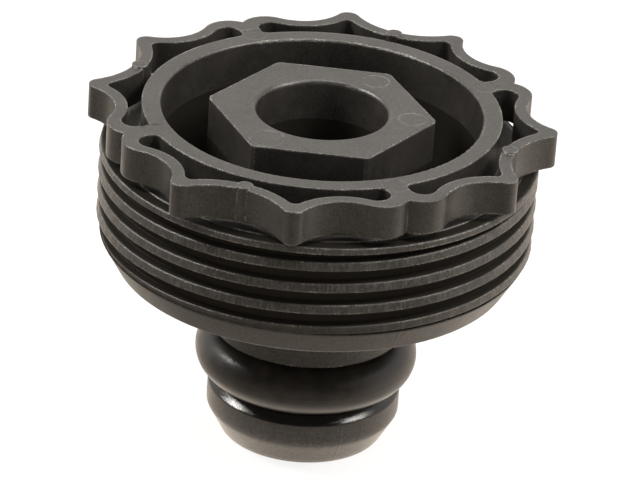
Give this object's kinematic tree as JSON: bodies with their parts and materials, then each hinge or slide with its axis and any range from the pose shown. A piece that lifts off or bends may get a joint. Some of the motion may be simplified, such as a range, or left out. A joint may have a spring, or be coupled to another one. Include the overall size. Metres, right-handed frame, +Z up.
{
  "type": "oil filter housing cap",
  "caption": "Screw-in plastic housing cap with a scalloped grip wall, a wrench hexagon in a deep cup, a coarse thread and a stepped nose that carries an O-ring.",
  "frame": {"origin": "centre of the nose's flat end, on which the cap stands", "axes": "+Z up along the thread's axis, out of the cup's mouth; the four bridges of the grip wall lie on +X, +Y, -X and -Y"},
  "size_m": [0.071, 0.071, 0.0585],
  "materials": {
    "cap_plastic": "black glass-filled plastic with a fine grain, brown-grey where it faces the light",
    "seal_rubber": "smooth dark rubber with a soft sheen"
  },
  "bodies": {
    "root": {"cap_body": "cap_plastic", "nose_o_ring": "seal_rubber"}
  },
  "joints": []
}
